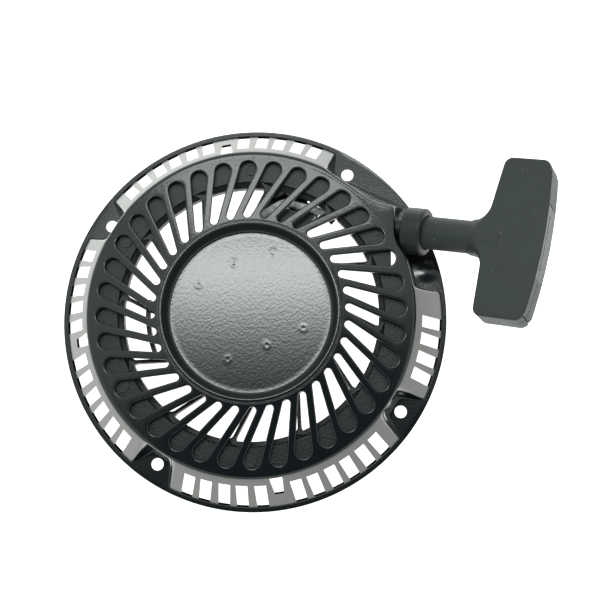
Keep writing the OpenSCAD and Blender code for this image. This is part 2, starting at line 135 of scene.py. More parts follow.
def make_stage():
    make_world()
    for i, power in enumerate(SOFTBOX_POWERS):
        place = (-0.07, SOFTBOX_LOW + i * SOFTBOX_STEP, 1.0)
        make_light("softbox", place, (place[0], place[1], 0), (0.36, SOFTBOX_STEP), power)
    make_light("top_strip", (0.0, 0.55, 1.0), (0, 0, 0), (0.7, 0.16), 1.6)
    floor_mesh = bpy.data.meshes.new("floor")
    half = 4.0
    low = -0.0004
    corners = [(x * half, y * half, low) for x, y in ((-1, -1), (1, -1), (1, 1), (-1, 1))]
    floor_mesh.from_pydata(corners, [], [(0, 1, 2, 3)])
    floor = bpy.data.objects.new("floor", floor_mesh)
    bpy.context.scene.collection.objects.link(floor)
    paint = bpy.data.materials.new("white_floor")
    paint.use_nodes = True
    shader = paint.node_tree.nodes["Principled BSDF"]
    shader.inputs["Base Color"].default_value = (0.9, 0.9, 0.88, 1)
    shader.inputs["Roughness"].default_value = 0.9
    shader.inputs["Emission Color"].default_value = (1, 0.99, 0.95, 1)
    shader.inputs["Emission Strength"].default_value = 1.25
    floor_mesh.materials.append(paint)
    bpy.context.scene.view_settings.view_transform = "Standard"


# ---------------------------------------------------------------- materials

class Paint:
    """A material being wired: keeps the node tree short to write."""

    def __init__(self, name):
        self.material = bpy.data.materials.new(name)
        self.material.use_nodes = True
        self.tree = self.material.node_tree
        self.shader = self.tree.nodes["Principled BSDF"]
        self.place = self.node("ShaderNodeTexCoord").outputs["Object"]

    def node(self, kind, **facts):
        """A new node with those attributes."""
        made = self.tree.nodes.new(kind)
        for key, value in facts.items():
            setattr(made, key, value)
        return made

    def link(self, a, b):
        self.tree.links.new(a, b)

    def set(self, name, value):
        self.shader.inputs[name].default_value = value

    def noise(self, scale, detail=2.0, rough=0.5, stretch=None):
        """Noise over the object, scale in features per metre."""
        made = self.node("ShaderNodeTexNoise")
        made.inputs["Scale"].default_value = scale
        made.inputs["Detail"].default_value = detail
        made.inputs["Roughness"].default_value = rough
        if stretch:
            mapping = self.node("ShaderNodeMapping")
            mapping.inputs["Scale"].default_value = stretch
            self.link(self.place, mapping.inputs["Vector"])
            self.link(mapping.outputs["Vector"], made.inputs["Vector"])
        else:
            self.link(self.place, made.inputs["Vector"])
        return made.outputs["Fac"]

    def cells(self, scale):
        """Cells over the object: distance from each one's centre, and a random number for each."""
        made = self.node("ShaderNodeTexVoronoi")
        made.inputs["Scale"].default_value = scale
        self.link(self.place, made.inputs["Vector"])
        split = self.node("ShaderNodeSeparateColor")
        self.link(made.outputs["Color"], split.inputs["Color"])
        return made.outputs["Distance"], split.outputs["Red"]

    def ramp(self, fac, stops):
        """Colours by value: stops are (value, colour)."""
        made = self.node("ShaderNodeValToRGB")
        for i, (at, colour) in enumerate(stops):
            element = made.color_ramp.elements[i] if i < 2 else made.color_ramp.elements.new(at)
            element.position = at
            element.color = (*colour, 1)
        self.link(fac, made.inputs["Fac"])
        return made.outputs["Color"]

    def remap(self, fac, low, high, from_low=0.0, from_high=1.0):
        """Value stretched from one range to another."""
        made = self.node("ShaderNodeMapRange")
        made.inputs["From Min"].default_value = from_low
        made.inputs["From Max"].default_value = from_high
        made.inputs["To Min"].default_value = low
        made.inputs["To Max"].default_value = high
        self.link(fac, made.inputs["Value"])
        return made.outputs["Result"]

    def math(self, operation, a, b):
        made = self.node("ShaderNodeMath", operation=operation)
        for socket, value in zip(made.inputs, (a, b)):
            if isinstance(value, (int, float)):
                socket.default_value = value
            else:
                self.link(value, socket)
        return made.outputs["Value"]

    def mix(self, fac, a, b):
        """Colour a where fac is 0 and b where it is 1."""
        made = self.node("ShaderNodeMix", data_type="RGBA")
        self.link(fac, made.inputs["Factor"])
        for key, value in ((6, a), (7, b)):
            if isinstance(value, tuple):
                made.inputs[key].default_value = (*value, 1)
            else:
                self.link(value, made.inputs[key])
        return made.outputs[2]

    def bump(self, height, distance, strength=1.0, under=None):
        """Bump of that height in metres."""
        made = self.node("ShaderNodeBump")
        made.inputs["Strength"].default_value = strength
        made.inputs["Distance"].default_value = distance
        self.link(height, made.inputs["Height"])
        if under is not None:
            self.link(under, made.inputs["Normal"])
        return made.outputs["Normal"]

    def finish(self, colour=None, rough=None, normal=None):
        """Wires up the shader and gives the material."""
        for name, value in (("Base Color", colour), ("Roughness", rough), ("Normal", normal)):
            if value is not None:
                self.link(value, self.shader.inputs[name])
        return self.material


def black_enamel():
    """Semi-gloss powder coat with orange peel."""
    p = Paint("black_enamel")
    tone = p.ramp(p.noise(60, 3),
                  [(0.35, (0.0016, 0.0022, 0.0024)), (0.70, (0.0034, 0.0044, 0.0046))])
    rough = p.remap(p.noise(400, 3), 0.16, 0.22)
    peel = p.bump(p.noise(700, 2, 0.55), 0.00012, 0.30)
    fine = p.bump(p.noise(2400, 2, 0.6), 0.00003, 0.25, peel)
    p.set("Coat Weight", 1.0)
    p.set("Coat Roughness", 0.13)
    p.set("Specular IOR Level", 0.3)
    p.link(peel, p.shader.inputs["Coat Normal"])
    return p.finish(tone, rough, fine)


def moulded(name, dark, light, rough=(0.45, 0.6), grain=1500, depth=0.00006):
    """Moulded plastic with a fine spark-eroded grain."""
    p = Paint(name)
    tone = p.ramp(p.noise(90, 4), [(0.3, dark), (0.75, light)])
    shine = p.remap(p.noise(300, 3), *rough)
    pits = p.bump(p.noise(grain, 3, 0.6), depth, 0.8)
    return p.finish(tone, shine, pits)


def grip_plastic():
    """Matt grip with dust specks and faint handling marks."""
    p = Paint("grip_plastic")
    tone = p.ramp(p.noise(45, 4),
                  [(0.3, (0.021, 0.027, 0.028)), (0.75, (0.027, 0.034, 0.035))])
    distance, number = p.cells(230)
    near = p.remap(distance, 1.0, 0.0, 0.03, 0.09)
    chosen = p.math("GREATER_THAN", number, 0.62)
    dusty = p.mix(p.math("MULTIPLY", near, chosen), tone, (0.24, 0.25, 0.23))
    shine = p.remap(p.noise(240, 4), 0.50, 0.66)
    pits = p.bump(p.noise(2100, 3, 0.6), 0.00004, 0.7)
    return p.finish(dusty, shine, pits)


def metal(name, dark, light, rough=(0.25, 0.42), stretch=(1, 1, 1), grain=900):
    """Plated or blued steel with drawn scratches."""
    p = Paint(name)
    tone = p.ramp(p.noise(120, 4), [(0.3, dark), (0.72, light)])
    streaks = p.noise(grain, 4, 0.65, stretch)
    shine = p.remap(streaks, *rough)
    p.set("Metallic", 1.0)
    return p.finish(tone, shine, p.bump(streaks, 0.00002, 0.4))


def rope_braid():
    """Off-white yarn with olive flecks."""
    p = Paint("rope_braid")
    yarn = p.noise(2600, 3, 0.7, (1, 1, 0.4))
    fleck = p.ramp(p.noise(420, 2), [(0.52, (0.80, 0.80, 0.76)), (0.64, (0.34, 0.35, 0.27))])
    tone = p.mix(p.remap(yarn, 0.0, 0.5, 0.4, 0.75), fleck, (0.93, 0.93, 0.90))
    p.set("Roughness", 0.85)
    p.set("Sheen Weight", 0.3)
    return p.finish(tone, None, p.bump(yarn, 0.0002, 0.8))


# ---------------------------------------------------------------- mesh tools

def new_piece(name, verts, faces, material, smooth_angle=35):
    """A mesh piece from points in millimetres."""
    mesh = bpy.data.meshes.new(name)
    mesh.from_pydata((np.asarray(verts, float) * MM).tolist(), [], faces)
    mesh.validate()
    mesh.update()
    mesh.shade_smooth()
    mesh.set_sharp_from_angle(angle=math.radians(smooth_angle))
    mesh.materials.append(material)
    piece = bpy.data.objects.new(name, mesh)
    bpy.context.scene.collection.objects.link(piece)
    return piece


def polar(radius, degrees):
    """Points in the plane from radii and angles."""
    angle = np.radians(degrees)
    return np.stack(np.broadcast_arrays(radius * np.cos(angle), radius * np.sin(angle)), -1)


def rounded(points, radii, steps=6):
    """Polyline with its corners rounded by arcs; radii is one number a corner."""
    out = [np.asarray(points[0], float)]
    for before, corner, after, radius in zip(points, points[1:], points[2:], radii):
        before, corner, after = (np.asarray(v, float) for v in (before, corner, after))
        a = (before - corner) / np.linalg.norm(before - corner)
        b = (after - corner) / np.linalg.norm(after - corner)
        half = math.acos(np.clip(a @ b, -1, 1)) / 2
        if radius <= 0 or half > math.pi / 2 - 0.01:
            out.append(corner)
            continue
        reach = radius / math.tan(half)
        centre = corner + (a + b) / np.linalg.norm(a + b) * radius / math.sin(half)
        start, end = corner + a * reach - centre, corner + b * reach - centre
        turn = math.atan2(start[0] * end[1] - start[1] * end[0], start @ end)
        for i in range(steps + 1):
            t = turn * i / steps
            out.append(centre + np.array((start[0] * math.cos(t) - start[1] * math.sin(t),
                                          start[0] * math.sin(t) + start[1] * math.cos(t))))
    out.append(np.asarray(points[-1], float))
    return np.array(out)


def resample(line, count):
    """count points evenly along a polyline."""
    steps = np.linalg.norm(np.diff(line, axis=0), axis=1)
    along = np.concatenate(([0], np.cumsum(steps)))
    at = np.linspace(0, along[-1], count)
    return np.stack([np.interp(at, along, line[:, k]) for k in range(line.shape[1])], -1)


def net(rows, base=0, flip=False):
    """Quads between closed rows of points: rows is (number of rows, points in a row)."""
    count, width = rows
    faces = []
    for j in range(count - 1):
        for i in range(width):
            k = (i + 1) % width
            quad = (base + j * width + i, base + j * width + k,
                    base + (j + 1) * width + k, base + (j + 1) * width + i)
            faces.append(quad[::-1] if flip else quad)
    return faces


# ---------------------------------------------------------------- housing

FLANGE_R = 102.0
SHEET = 1.2
SLOTS = 36
PITCH = 360 / SLOTS
SLOT_PHASE = 1.2
SLOT_OUT = (75.5, 4.25)
SLOT_IN = (50.7, 1.95)
SLOT_SWEEP = 10.6
CELL_IN, CELL_OUT = 47.95, 81.2
BOLT_R, BOLT_HOLE_R, BOLT_ANGLE = 92.0, 3.25, 57.0
WALL_X = 74.6
EXIT_AT = np.array((WALL_X, 44.6, 12.3))
EXIT_HOLE_R = 6.2
FLOOR_Z = 23.2

# Half section of the dish, its rolled rim and the start of the slotted cone
DISH = rounded([(0, FLOOR_Z), (42.2, FLOOR_Z), (44.9, 29.9), (46.95, 29.75), (47.4, 27.1), (90, 22.3)],
               [1.6, 0.7, 0.8, 0.6], 7)


def dome_z(radius):
    """Height of the outer skin over the dish, the rim and the cone."""
    return np.interp(radius, DISH[:, 0], DISH[:, 1])


# Points along a slot's outer end, its sides and its inner end
OUTER_POINTS, SIDE_POINTS, INNER_POINTS = 17, 19, 11


def slot_loop(out):
    """Outline of one slot grown by out: its outer end, a side, its inner end and the other side."""
    a, b = polar(SLOT_OUT[0], 0), polar(SLOT_IN[0], SLOT_SWEEP)
    aim_angle = math.degrees(math.atan2(b[1] - a[1], b[0] - a[0]))
    lean = math.degrees(math.asin((SLOT_OUT[1] - SLOT_IN[1]) / np.linalg.norm(b - a)))
    big, small = SLOT_OUT[1] + out, SLOT_IN[1] + out
    outer = a + polar(big, np.linspace(aim_angle + 90 - lean, aim_angle + 270 + lean, OUTER_POINTS))
    inner = b + polar(small, np.linspace(aim_angle - 90 + lean, aim_angle + 90 - lean, INNER_POINTS))
    side_up = np.linspace(outer[-1], inner[0], SIDE_POINTS)
    side_down = np.linspace(inner[-1], outer[0], SIDE_POINTS)
    return np.concatenate((outer[:-1], side_up[:-1], inner[:-1], side_down[:-1]))


def cell_loop():
    """Border of the cell round one slot, point for point with slot_loop."""
    a, b = polar(SLOT_OUT[0], 0), polar(SLOT_IN[0], SLOT_SWEEP)
    way = (b - a) / np.linalg.norm(b - a)

    def on_circle(radius, near):
        """Where the slot's centre line meets a circle, on the side of near: the angle and the point."""
        half = a @ way
        root = math.sqrt(half * half - (a @ a - radius * radius))
        steps = (-half - root, -half + root)
        point = a + way * min(steps, key=lambda s: abs(np.linalg.norm(a + way * s - near)))
        return math.degrees(math.atan2(point[1], point[0])), point

    out_angle, out_point = on_circle(CELL_OUT, a)
    in_angle, in_point = on_circle(CELL_IN, b)
    half = PITCH / 2

    def turned(points, degrees):
        c, s = math.cos(math.radians(degrees)), math.sin(math.radians(degrees))
        return points @ np.array(((c, s), (-s, c)))

    line = np.linspace(out_point, in_point, SIDE_POINTS)
    outer = polar(CELL_OUT, np.linspace(out_angle - half, out_angle + half, OUTER_POINTS))
    inner = polar(CELL_IN, np.linspace(in_angle + half, in_angle - half, INNER_POINTS))
    return np.concatenate((outer[:-1], turned(line, half)[:-1],
                           inner[:-1], turned(line[::-1], -half)[:-1]))


# Rings over the rolled lip of a slot and back underneath: (way out from the slot, drop)
LIP = [(0.66, 0.0), (0.50, 0.02), (0.34, 0.08), (0.18, 0.19), (0.05, 0.36), (0.0, 0.55), (0.0, 1.45),
       (0.08, 1.75), (0.28, 1.85), (0.50, 1.75), (0.60, 1.5), (0.66, SHEET + 0.05)]


def slotted_cone():
    """Points and faces of the slotted cone, both faces of the sheet, one cell a slot."""
    border = cell_loop()
    near = slot_loop(LIP[0][0])
    rings = [(border, 0.0), (border * 0.5 + near * 0.5, 0.0)]
    rings += [(slot_loop(out), drop) for out, drop in LIP]
    rings += [(border * 0.5 + near * 0.5, SHEET), (border, SHEET)]
    width = len(border)
    flat = np.concatenate([np.column_stack((loop, dome_z(np.linalg.norm(loop, axis=1)) - drop))
                           for loop, drop in rings])
    verts, faces = [], []
    for k in range(SLOTS):
        angle = math.radians(SLOT_PHASE + k * PITCH)
        c, s = math.cos(angle), math.sin(angle)
        verts.append(np.column_stack((flat[:, 0] * c - flat[:, 1] * s,
                                      flat[:, 0] * s + flat[:, 1] * c, flat[:, 2])))
        faces += net((len(rings), width), k * len(flat))
    return np.concatenate(verts), faces


WELD_SPOTS = [(-8.7, 25.3), (11.5, 30.6), (-26.7, 14.2), (27.3, -8.6), (8.6, -17.2), (-11.3, -24.4)]
# Floor of the dish: radii of its first and last ring, how many rings, and how far the weld marks may reach
FLOOR_IN, FLOOR_OUT, FLOOR_RINGS, WELD_REACH = 1.2, 39.0, 56, 38
WALL_RINGS = 40


def weld_marks(x, y):
    """Raised rings that spot welds leave on the dish."""
    rise = np.zeros_like(x)
    for spot in WELD_SPOTS:
        d = np.hypot(x - spot[0], y - spot[1])
        rise += 0.05 * np.exp(-((d - 1.4) / 0.85) ** 2) - 0.035 * np.exp(-(d / 0.9) ** 2)
    return rise


def dish():
    """Points and faces of the dish and its rim, both faces of the sheet."""
    count = SLOTS * 10
    start = cell_inner_angle()
    angles = start + np.arange(count) * 360 / count
    top = DISH[DISH[:, 0] <= CELL_IN - 0.05]
    floor = np.column_stack((np.linspace(FLOOR_IN, FLOOR_OUT, FLOOR_RINGS), np.full(FLOOR_RINGS, FLOOR_Z)))
    wall = resample(top[top[:, 0] > FLOOR_OUT + 0.2], WALL_RINGS)
    top = np.concatenate((floor, wall, [(CELL_IN, dome_z(CELL_IN))]))
    slope = np.gradient(top, axis=0)
    slope /= np.linalg.norm(slope, axis=1)[:, None]
    under = top + SHEET * 0.8 * np.column_stack((slope[:, 1], -slope[:, 0]))
    under[-1] = (CELL_IN, dome_z(CELL_IN) - SHEET)
    under[:, 0] = np.minimum(np.maximum(under[:, 0], 0.3), CELL_IN)
    under[:FLOOR_RINGS, 1] = FLOOR_Z - SHEET
    verts, faces = [], []
    for below, line in enumerate((top, under)):
        rows = [np.column_stack((polar(r, angles), np.full(count, z))) for r, z in line]
        rows = np.array(rows).reshape(-1, 3)
        if not below:
            inside = np.hypot(rows[:, 0], rows[:, 1]) < WELD_REACH
            rows[:, 2] += weld_marks(rows[:, 0], rows[:, 1]) * inside
        base = sum(len(v) for v in verts)
        faces += net((len(line), count), base, flip=bool(below))
        centre = base + len(rows)
        verts += [rows, np.array([(0, 0, line[0][1])])]
        for i in range(count):
            fan = (centre, base + i, base + (i + 1) % count)
            faces.append(fan[::-1] if below else fan)
    return np.concatenate(verts), faces


def cell_inner_angle():
    """World angle of the first point of the cells' inner border."""
    first = cell_loop()[OUTER_POINTS + SIDE_POINTS - 2]
    return math.degrees(math.atan2(first[1], first[0])) + SLOT_PHASE


def smooth_step(x, low, high):
    """0 up to low, 1 from high, smooth between them."""
    t = np.clip((x - low) / (high - low), 0, 1)
    return t * t * (3 - 2 * t)


# Windows stand in pairs: steps of a whole quarter from its middle, and each quarter's middle with its steps
WINDOW_STEPS = [k * 11.8 + s * 2.84 for k in (-2.5, -1.5, -0.5, 0.5, 1.5, 2.5) for s in (-1, 1)]
QUARTERS = [(BOLT_ANGLE + 45 + 90 * k, WINDOW_STEPS) for k in range(3)]
QUARTERS += [(BOLT_ANGLE - 45, WINDOW_STEPS[:4])]
# Which window of a whole quarter is the short tab
TAB_INDEX = 5
# Radius and height of the sloping band's top and foot, and the same on a bolt pad
BAND_TOP, BAND_FOOT = (84.3, 22.4), (99.8, SHEET)
PAD_TOP, PAD_FOOT = (84.6, 22.4), (86.6, SHEET)
# Inner and outer radii of the windows and of the tabs, with their half widths
WINDOW_R, WINDOW_HALF = (88.3, 99.2), 3.02
TAB_R, TAB_HALF = (86.6, 93.3), (3.25, 2.3)


def pad_share(angle):
    """1 on a bolt pad, 0 on the sloping band, by the angle round the shaft."""
    angle = np.mod(angle - (BOLT_ANGLE - 180), 360) - 180
    share = np.zeros_like(angle)
    for k in range(-2, 3):
        share = np.maximum(share, 1 - smooth_step(np.abs(angle - 90 * k), 3.0, 7.3))
    recess = smooth_step(angle, 7.2 - BOLT_ANGLE, 10.4 - BOLT_ANGLE) * (1 - smooth_step(angle, -3, 3))
    return np.maximum(share, recess)


# Middle of the raised dimple on the flange beside the rope's exit, and its height
DIMPLE, DIMPLE_RISE = (91.0, 23.4), 0.55
# Edge of the cover over the rope's exit: angle, radius of its top edge and radius of its foot
EXIT = np.array([(20.0, 83.4, 85.4), (25.6, 83.6, 85.4), (28.5, 84.9, 85.9), (31.5, 87.5, 88.2),
                 (34.0, 90.0, 90.8), (35.4, 91.5, 92.6), (36.4, 91.9, 98.3), (37.2, 91.2, 98.6),
                 (40.0, 87.4, 96.6), (43.6, 84.8, 93.9), (48.0, 83.9, 90.9), (53.7, 83.6, 88.7),
                 (58.0, 83.5, 87.2), (64.0, 83.5, 86.2)])


def band_columns():
    """The band's columns of points, as (angle, whether its window is a tab, place across that window).

    The place runs from -1 to 1 from side to side of a window, and is None between windows."""
    columns = []
    for middle, steps in QUARTERS:
        for i, step in enumerate(steps):
            for side in np.linspace(-1, 1, 7):
                columns.append((middle + step, i == TAB_INDEX, side))
    taken = sorted(set(round(c[0] % 360, 4) for c in columns))
    extra = []
    for angle in np.arange(0, 360, 0.5):
        gaps = [abs((angle - t + 180) % 360 - 180) for t in taken]
        if min(gaps) > 2.35:
            extra.append(angle)
    extra += [a for a in np.arange(34.0, 38.0, 0.15)]
    for k in range(4):
        for side in (-1, 1):
            if (k, side) != (0, -1):
                extra += [BOLT_ANGLE + 90 * k + side * a for a in np.arange(2.4, 7.6, 0.3)]
    for angle in sorted(set(np.round(extra, 3))):
        columns.append((angle, False, None))
    return columns


def column_angle(column, radius):
    """Angle of a column at a radius: a window's sides run parallel, the rest is straight out."""
    middle, tab, side = column
    if side is None:
        return np.full_like(radius, middle)
    half = np.interp(radius, TAB_R, TAB_HALF) if tab else np.full_like(radius, WINDOW_HALF)
    return middle + side * np.degrees(np.arcsin(half / radius))


def shape_share(column):
    """1 for a column on a bolt pad, 0 for one on the sloping band."""
    return float(pad_share(np.array([column[0]]))[0])


def skin_profile(column):
    """Half section of the outer skin at a column: start, shoulder, wall, foot and flange."""
    share = shape_share(column)
    turned = column[0] % 360
    top = np.array(BAND_TOP) * (1 - share) + np.array(PAD_TOP) * share
    foot = np.array(BAND_FOOT) * (1 - share) + np.array(PAD_FOOT) * share
    if 20 < turned < 64:
        near = smooth_step(turned, 20, 26) * (1 - smooth_step(turned, 56, 64))
        top[0] = top[0] * (1 - near) + np.interp(turned, EXIT[:, 0], EXIT[:, 1]) * near
        foot[0] = foot[0] * (1 - near) + np.interp(turned, EXIT[:, 0], EXIT[:, 2]) * near
    start = np.array((CELL_OUT, dome_z(CELL_OUT)))
    top[1] = start[1] - 0.112 * (top[0] - start[0]) * 0.6
    foot_round = 0.5 + 1.4 * share
    corner = 3.3 - 1.7 * share
    down = (foot - top) / np.linalg.norm(foot - top)
    over = (top - start) / np.linalg.norm(top - start)
    half = math.acos(np.clip(-over @ down, -1, 1)) / 2
    corner = min(corner, 0.9 * np.linalg.norm(top - start) * math.tan(half))
    edge = np.array((FLANGE_R - 0.5, SHEET))
    line = rounded([start, top, foot, edge], [corner, foot_round], 8)
    arc_top, arc_foot = line[1:10], line[10:19]
    wall = np.linspace(arc_top[-1], arc_foot[0], 41)
    flat = np.linspace(arc_foot[-1], edge, 7)
    return start, arc_top, wall, arc_foot, flat


# Rows of points down the wall of a pad, as shares of its height
PAD_ROWS = np.array([0, 0.035, 0.07, 0.15, 0.24, 0.33, 0.42, 0.51, 0.60, 0.69, 0.78, 0.87, 0.95, 1.0])
# Row at which the wall starts, and the rows of the wall that a window or a tab opens
WALL_ROW = 9
OPEN_ROWS = {False: (WALL_ROW + 2, WALL_ROW + 12), True: (WALL_ROW, WALL_ROW + 7)}


def band_rows(columns):
    """Places of the band's rows along each column, as radius and height."""
    shapes = []
    for column in columns:
        start, arc_top, wall, arc_foot, flat = skin_profile(column)
        radii = wall[:, 0]
        if shape_share(column) < 0.001:
            keys = np.array((radii[0], WINDOW_R[0], TAB_R[1], WINDOW_R[1], radii[-1]))
            picks = np.concatenate([np.linspace(a, b, steps)[:-1]
                                    for a, b, steps in zip(keys[:3], keys[1:], (3, 6, 6))]
                                   + [np.linspace(keys[3], keys[4], 2)])
            t = (picks - radii[0]) / (radii[-1] - radii[0])
        else:
            t = PAD_ROWS
        wall = wall[0] + (wall[-1] - wall[0]) * t[:, None]
        shapes.append(np.concatenate(([start], arc_top[:-1], wall, arc_foot[1:], flat[1:])))
    return np.array(shapes)


# Rounded outer edge of the flange: (way out from its radius, drop)
RIM = [(-0.16, -0.08), (0.0, -0.35), (0.0, -0.85), (-0.16, -1.12)]


def band():
    """Points and faces of the shoulder, the band, the pads and the flange, both faces of the sheet."""
    columns = band_columns()
    columns.sort(key=lambda c: float(column_angle(c, np.array([92.0]))[0] % 360))
    shapes = band_rows(columns)
    count = len(columns)
    rows = shapes.shape[1]
    angles = np.array([column_angle(c, np.maximum(shapes[i, :, 0], 84.0)) for i, c in enumerate(columns)])
    top = np.empty((rows, count, 3))
    for i in range(count):
        top[:, i, :2] = polar(shapes[i, :, 0], angles[i])
        top[:, i, 2] = shapes[i, :, 1]
    bump = np.hypot((top[..., 0] - DIMPLE[0]) / 1.25, top[..., 1] - DIMPLE[1])
    top[..., 2] += DIMPLE_RISE * (1 - smooth_step(bump, 0.3, 6.0)) * (top[..., 2] < 3)
    across = np.roll(top, -1, 1) - np.roll(top, 1, 1)
    along = np.empty_like(top)
    along[1:-1] = top[2:] - top[:-2]
    along[0], along[-1] = top[1] - top[0], top[-1] - top[-2]
    normal = np.cross(along, across)
    normal /= np.linalg.norm(normal, axis=2)[..., None] + 1e-9
    normal *= np.sign(normal[..., 2:3] + 1e-9)
    under = top - SHEET * normal
    radii = np.hypot(top[..., 0], top[..., 1])
    flat = (radii > 99.5)
    under[flat] = top[flat] - (0, 0, SHEET)
    under[0] = top[0] - (0, 0, SHEET)
    under[..., 2] = np.maximum(under[..., 2], 0.0)
    edge = []
    for out, drop in RIM:
        line = top[-1].copy()
        line[:, :2] *= (FLANGE_R + out) / radii[-1][:, None]
        line[:, 2] += drop
        edge.append(line)
    grid = np.concatenate([top, np.array(edge), under[::-1]])
    total = len(grid)
    opened = np.zeros((total, count), bool)
    for i, (_, tab, side) in enumerate(columns):
        if side is not None and side < 0.99:
            opened[slice(*OPEN_ROWS[tab]), i] = True
    faces = []

    def quad(a, b, c, d):
        """One face, from four (row, column) places."""
        faces.append(tuple(j * count + i for j, i in (d, c, b, a)))

    for j in range(total - 1):
        row = j if j < rows - 1 else total - 2 - j
        for i in range(count):
            k = (i + 1) % count
            if row >= rows - 1 or not opened[row, i]:
                quad((j, i), (j, k), (j + 1, k), (j + 1, i))
    for j, i in np.argwhere(opened[:rows - 1]).tolist():
        k = (i + 1) % count
        # Each side of an opened cell that has sheet beside it gets a face through the sheet
        sides = (((j, i), (j, k), (j - 1, i)), ((j + 1, k), (j + 1, i), (j + 1, i)),
                 ((j + 1, i), (j, i), (j, (i - 1) % count)), ((j, k), (j + 1, k), (j, k)))
        for (j0, i0), (j1, i1), beside in sides:
            if not opened[beside]:
                quad((j0, i0), (j1, i1), (total - 1 - j1, i1), (total - 1 - j0, i0))
    return grid.reshape(-1, 3), faces, grid[0], grid[-1]


def zip_rings(outer, inner, name_outer, name_inner, flip):
    """Triangles between two rings of points with different counts, joined by angle.

    name_outer and name_inner give the vertex number of each point of a ring."""
    def order(ring, names):
        angle = np.mod(np.arctan2(ring[:, 1], ring[:, 0]), 2 * math.pi)
        index = np.argsort(angle)
        return angle[index], np.asarray(names)[index]

    angle_a, name_a = order(outer, name_outer)
    angle_b, name_b = order(inner, name_inner)
    faces, i, j = [], 0, 0
    n, m = len(outer), len(inner)
    while i < n or j < m:
        next_a = angle_a[i + 1] if i + 1 < n else 2 * math.pi + angle_a[0]
        next_b = angle_b[j + 1] if j + 1 < m else 2 * math.pi + angle_b[0]
        a, b = name_a[i % n], name_b[j % m]
        if j >= m or (i < n and next_a <= next_b):
            tri = (a, name_a[(i + 1) % n], b)
            i += 1
        else:
            tri = (a, name_b[(j + 1) % m], b)
            j += 1
        faces.append(tuple(int(v) for v in (tri[::-1] if flip else tri)))
    return faces


def cut(piece, tools):
    """Takes closed tool meshes out of a piece."""
    for tool in tools:
        modifier = piece.modifiers.new("cut", "BOOLEAN")
        modifier.operation = "DIFFERENCE"
        modifier.solver = "EXACT"
        modifier.object = tool
        bpy.context.view_layer.objects.active = piece
        bpy.ops.object.modifier_apply(modifier=modifier.name)
        bpy.data.objects.remove(tool)


def cylinder_tool(start, end, radius):
    """Closed round tool from start to end, for cut."""
    bm = bmesh.new()
    length = (Vector(end) - Vector(start)).length
    bmesh.ops.create_cone(bm, cap_ends=True, segments=64, radius1=radius * MM, radius2=radius * MM,
                          depth=length * MM)
    mesh = bpy.data.meshes.new("tool")
    bm.to_mesh(mesh)
    bm.free()
    tool = bpy.data.objects.new("tool", mesh)
    bpy.context.scene.collection.objects.link(tool)
    way = (Vector(end) - Vector(start)).normalized()
    middle = (Vector(start) + Vector(end)) / 2 * MM
    tool.matrix_world = Matrix.Translation(middle) @ way.to_track_quat("Z", "Y").to_matrix().to_4x4()
    return tool


def make_housing(material):
    """The stamped steel housing, as one shell."""
    cone_verts, cone_faces = slotted_cone()
    dish_verts, dish_faces = dish()
    band_verts, band_faces, band_top, band_under = band()
    base_dish = len(cone_verts)
    base_band = base_dish + len(dish_verts)
    verts = np.concatenate((cone_verts, dish_verts, band_verts))
    faces = cone_faces + [tuple(i + base_dish for i in f) for f in dish_faces]
    faces += [tuple(i + base_band for i in f) for f in band_faces]
    cell_width = len(cell_loop())
    ring_rows = len(LIP) + 4
    cell_size = cell_width * ring_rows
    for under in (False, True):
        offset = (ring_rows - 1) * cell_width if under else 0
        inner = [k * cell_size + offset + i for k in range(SLOTS) for i in range(OUTER_POINTS - 1)]
        outer = band_under if under else band_top
        first = base_band + (len(band_verts) - len(band_top) if under else 0)
        faces += zip_rings(outer, verts[inner], first + np.arange(len(outer)), inner, under)
    piece = new_piece("housing_shell", verts, faces, material, 40)
    bm = bmesh.new()
    bm.from_mesh(piece.data)
    bmesh.ops.remove_doubles(bm, verts=bm.verts, dist=0.00003)
    bmesh.ops.recalc_face_normals(bm, faces=bm.faces)
    bm.to_mesh(piece.data)
    bm.free()
    tools = []
    for k in range(4):
        x, y = polar(BOLT_R, BOLT_ANGLE + 90 * k)
        tools.append(cylinder_tool((x, y, -1), (x, y, 3), BOLT_HOLE_R))
    tools.append(cylinder_tool(EXIT_AT - (5, 0, 0), EXIT_AT + (5, 0, 0), EXIT_HOLE_R))
    cut(piece, tools)
    piece.data.shade_smooth()
    piece.data.set_sharp_from_angle(angle=math.radians(38))
    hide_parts("housing")
    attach(piece, "frame")


# ---------------------------------------------------------------- implicit solids

# The twelve edges of a grid cell, as pairs of its corners
EDGES = [((0, 0, 0), (1, 0, 0)), ((0, 1, 0), (1, 1, 0)), ((0, 0, 1), (1, 0, 1)), ((0, 1, 1), (1, 1, 1)),
         ((0, 0, 0), (0, 1, 0)), ((1, 0, 0), (1, 1, 0)), ((0, 0, 1), (0, 1, 1)), ((1, 0, 1), (1, 1, 1)),
         ((0, 0, 0), (0, 0, 1)), ((1, 0, 0), (1, 0, 1)), ((0, 1, 0), (0, 1, 1)), ((1, 1, 0), (1, 1, 1))]


